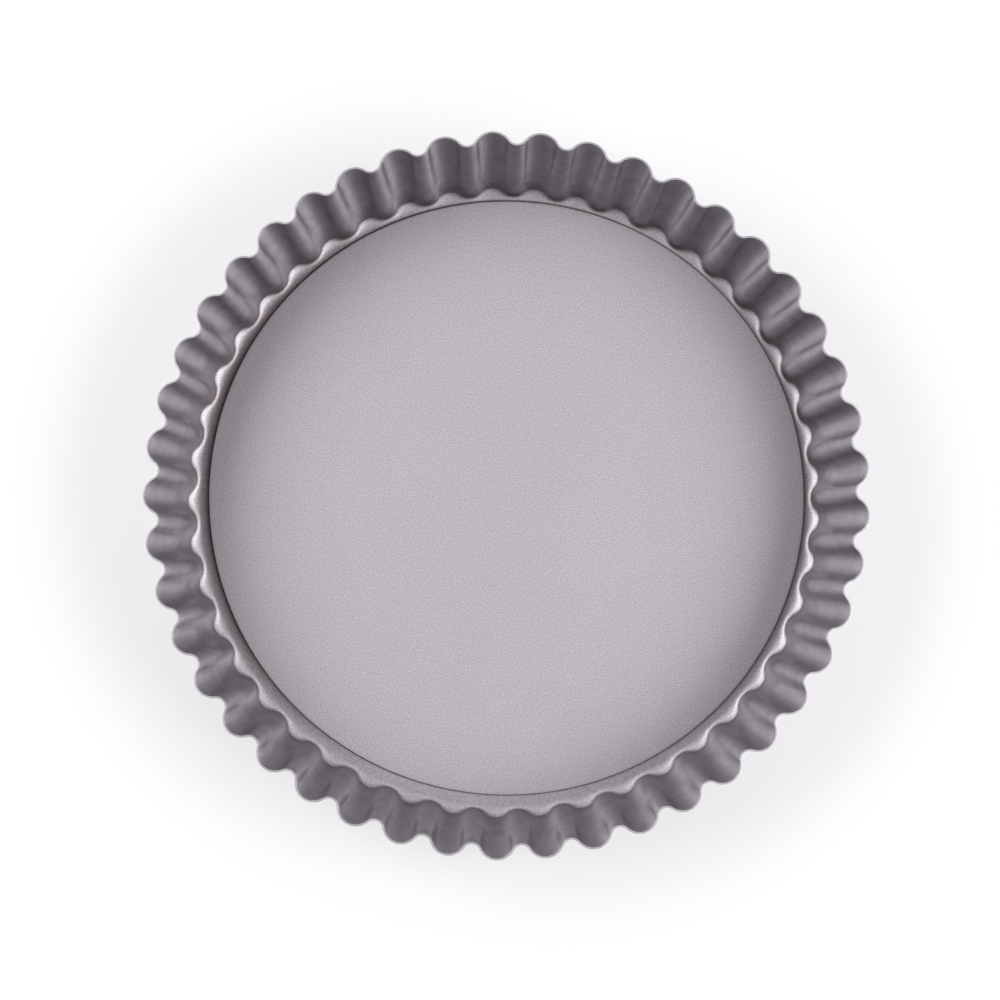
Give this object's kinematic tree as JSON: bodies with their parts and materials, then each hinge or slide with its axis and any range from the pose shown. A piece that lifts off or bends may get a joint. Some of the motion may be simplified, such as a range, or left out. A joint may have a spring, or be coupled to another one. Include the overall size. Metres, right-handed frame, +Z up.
{
  "type": "fluted quiche dish",
  "caption": "Round fluted quiche dish in coated sheet steel: a ring with a leaning fluted wall and a turned-in ledge, and a loose flat base that lifts out through the top.",
  "frame": {"origin": "centre of the flat underside of the ring's ledge, on the ring's axis, at the surface that the dish stands on", "axes": "+Z up along the ring's axis, from the ledge to the rim. +X passes through a valley between two flutes, and +Y completes the right-handed frame"},
  "size_m": [0.2497, 0.2498, 0.035],
  "materials": {
    "ring_coating": "dark grey non-stick coating, satin, with a faint metallic grain",
    "base_coating": "light grey non-stick coating, with a fine sandy grain"
  },
  "bodies": {
    "ring": {"fluted_ring": "ring_coating"},
    "base": {"loose_base": "base_coating"}
  },
  "joints": [
    {"name": "base_lift", "type": "slide", "parent": "ring", "child": "base", "axis": [0, 0, 1], "range_m": [0, 0.05]}
  ]
}
